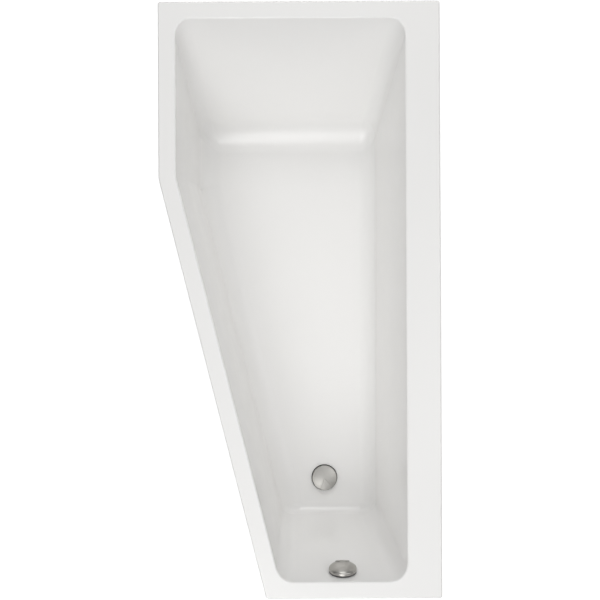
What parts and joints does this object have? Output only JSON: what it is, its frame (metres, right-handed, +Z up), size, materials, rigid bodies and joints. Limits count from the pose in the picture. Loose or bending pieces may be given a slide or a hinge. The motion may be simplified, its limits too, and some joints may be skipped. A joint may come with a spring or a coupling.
{
  "type": "bathtub",
  "caption": "Space-saving white acrylic bath with one tapered side, a sloping backrest, a knob-worked pop-up plug, overflow, trap and levelling feet.",
  "frame": {"origin": "on the floor, under the middle of the rim outline's bounding box", "axes": "+Y along the bath to the head end with the backrest, +X to the long straight wall side, +Z up"},
  "size_m": [0.755, 1.6, 0.6],
  "materials": {
    "acrylic": "high gloss, white",
    "glass_fibre": "rough sprayed glass-fibre resin",
    "chipboard": "raw pressed chips",
    "galvanised_steel": "galvanised sheet",
    "zinc_plated_steel": "bright zinc plate",
    "black_plastic": "fine moulded grain",
    "black_rubber": "matte",
    "chrome": "polished chrome plate",
    "stainless_steel": "satin stainless steel",
    "brass": "turned brass",
    "white_plastic": "moulded polypropylene",
    "grey_plastic": "corrugated hose",
    "cable_plastic": "smooth sheath"
  },
  "bodies": {
    "tub": {"tub_shell": "acrylic", "glass_fibre_backing": "glass_fibre", "base_board": "chipboard", "head_rail": "galvanised_steel", "foot_rail": "galvanised_steel", "rail_screws": "zinc_plated_steel", "rail_nuts": "zinc_plated_steel", "lock_nuts": "zinc_plated_steel", "waste_flange_seal": "black_rubber", "waste_body_gasket": "black_rubber", "trap_seals": "black_rubber", "overflow_gasket": "black_rubber", "waste_flange": "chrome", "overflow_flange": "stainless_steel", "overflow_screws": "stainless_steel", "lever_pin": "stainless_steel", "waste_body": "white_plastic", "trap_bend": "white_plastic", "outlet_elbow": "white_plastic", "trap_nuts": "white_plastic", "overflow_body": "white_plastic", "hose_nuts": "white_plastic", "overflow_hose": "grey_plastic", "cable_sheath": "cable_plastic"},
    "knob": {"overflow_knob": "chrome", "knob_spindle": "brass", "knob_screw": "stainless_steel"},
    "plug": {"plug_cap": "chrome", "plug_seal": "black_rubber", "plug_stem": "brass"},
    "lifter": {"lifter_lever": "brass"},
    "cable_core": {"cable_eye": "stainless_steel"},
    "foot_head_left": {"foot_pad_head_left": "black_plastic", "foot_sole_head_left": "black_rubber"},
    "leg_head_left": {"leg_screw_head_left": "zinc_plated_steel"},
    "foot_head_right": {"foot_pad_head_right": "black_plastic", "foot_sole_head_right": "black_rubber"},
    "leg_head_right": {"leg_screw_head_right": "zinc_plated_steel"},
    "foot_foot_left": {"foot_pad_foot_left": "black_plastic", "foot_sole_foot_left": "black_rubber"},
    "leg_foot_left": {"leg_screw_foot_left": "zinc_plated_steel"},
    "foot_foot_right": {"foot_pad_foot_right": "black_plastic", "foot_sole_foot_right": "black_rubber"},
    "leg_foot_right": {"leg_screw_foot_right": "zinc_plated_steel"}
  },
  "joints": [
    {"name": "knob_turn", "type": "hinge", "parent": "tub", "child": "knob", "pos_m": [0.113, -0.73973, 0.543], "axis": [0, 0.9659, 0.2588], "range_deg": [0, 80]},
    {"name": "plug_lift", "type": "slide", "parent": "tub", "child": "plug", "axis": [0, 0, 1], "range_m": [0, 0.008]},
    {"name": "lever_swing", "type": "hinge", "parent": "tub", "child": "lifter", "pos_m": [0.0555, -0.538, 0.119], "axis": [0, -1, 0], "range_deg": [0, 30]},
    {"name": "cable_pull", "type": "slide", "parent": "tub", "child": "cable_core", "axis": [-1, 0, 0], "range_m": [0, 0.008]},
    {"name": "foot_height_head_left", "type": "slide", "parent": "tub", "child": "foot_head_left", "axis": [0, 0, 1], "range_m": [-0.015, 0.015]},
    {"name": "leg_turn_head_left", "type": "hinge", "parent": "foot_head_left", "child": "leg_head_left", "pos_m": [-0.25708, 0.33083, 0.03], "axis": [0, 0, 1], "range_deg": [-3270, 3270]},
    {"name": "foot_height_head_right", "type": "slide", "parent": "tub", "child": "foot_head_right", "axis": [0, 0, 1], "range_m": [-0.015, 0.015]},
    {"name": "leg_turn_head_right", "type": "hinge", "parent": "foot_head_right", "child": "leg_head_right", "pos_m": [0.18915, 0.33083, 0.03], "axis": [0, 0, 1], "range_deg": [-3270, 3270]},
    {"name": "foot_height_foot_left", "type": "slide", "parent": "tub", "child": "foot_foot_left", "axis": [0, 0, 1], "range_m": [-0.015, 0.015]},
    {"name": "leg_turn_foot_left", "type": "hinge", "parent": "foot_foot_left", "child": "leg_foot_left", "pos_m": [-0.08055, -0.37, 0.03], "axis": [0, 0, 1], "range_deg": [-3270, 3270]},
    {"name": "foot_height_foot_right", "type": "slide", "parent": "tub", "child": "foot_foot_right", "axis": [0, 0, 1], "range_m": [-0.015, 0.015]},
    {"name": "leg_turn_foot_right", "type": "hinge", "parent": "foot_foot_right", "child": "leg_foot_right", "pos_m": [0.18915, -0.37, 0.03], "axis": [0, 0, 1], "range_deg": [-3270, 3270]}
  ],
  "couplings": [
    {"joint": "plug_lift", "follows": "knob_turn", "m_per_rad": 0.0057295},
    {"joint": "lever_swing", "follows": "knob_turn", "ratio": 0.375},
    {"joint": "cable_pull", "follows": "knob_turn", "m_per_rad": 0.0057295},
    {"joint": "leg_turn_head_left", "follows": "foot_height_head_left", "rad_per_m": 3590.4},
    {"joint": "leg_turn_head_right", "follows": "foot_height_head_right", "rad_per_m": 3590.4},
    {"joint": "leg_turn_foot_left", "follows": "foot_height_foot_left", "rad_per_m": 3590.4},
    {"joint": "leg_turn_foot_right", "follows": "foot_height_foot_right", "rad_per_m": 3590.4}
  ]
}
